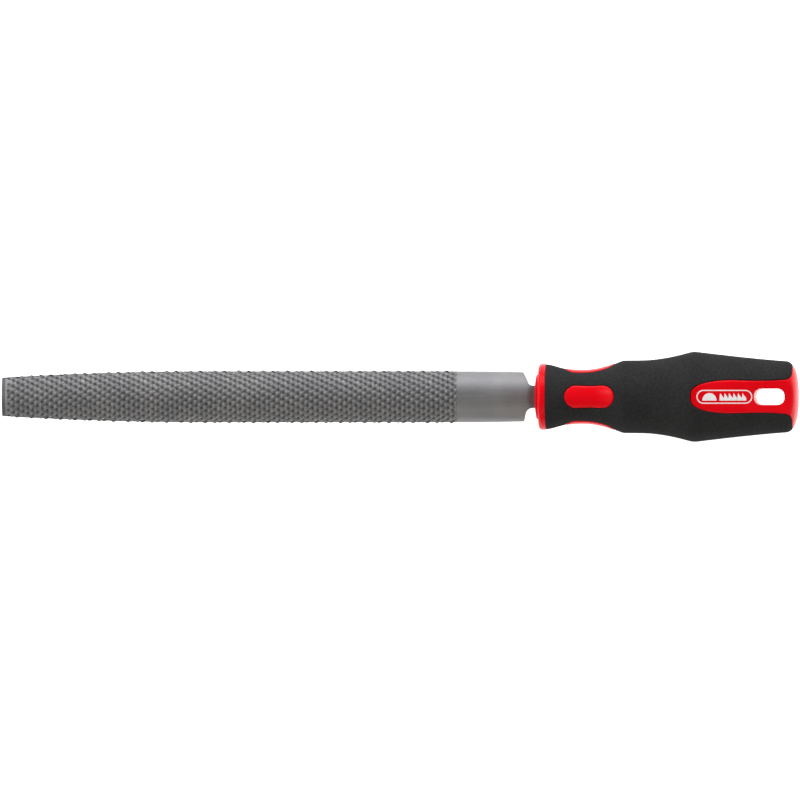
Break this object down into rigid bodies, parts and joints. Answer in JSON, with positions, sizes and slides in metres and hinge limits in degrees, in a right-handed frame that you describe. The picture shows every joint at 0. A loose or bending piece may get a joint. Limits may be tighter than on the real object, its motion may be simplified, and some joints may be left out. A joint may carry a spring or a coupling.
{
  "type": "half-round rasp",
  "caption": "Half-round hand rasp with coarse teeth, a tapered tang and a waisted two-component handle with a hanging slot.",
  "frame": {"origin": "on the plane the handle's lowest point rests on, under the middle of the tool's length", "axes": "+X along the tool's axis from the blade's tip to the handle's end, +Y across the blade, +Z out of the blade's round side"},
  "size_m": [0.3052, 0.0344, 0.0342],
  "materials": {
    "tool_steel": "hardened, dull grey, cut teeth",
    "red_plastic": "moulded satin red",
    "black_grip": "moulded matt black, fine grain",
    "bush_plastic": "moulded satin dark red",
    "white_print": "thin white print"
  },
  "bodies": {
    "root": {"rasp_blade": "tool_steel", "handle_core": "red_plastic", "soft_grip": "black_grip", "tang_bush": "bush_plastic"}
  },
  "joints": []
}
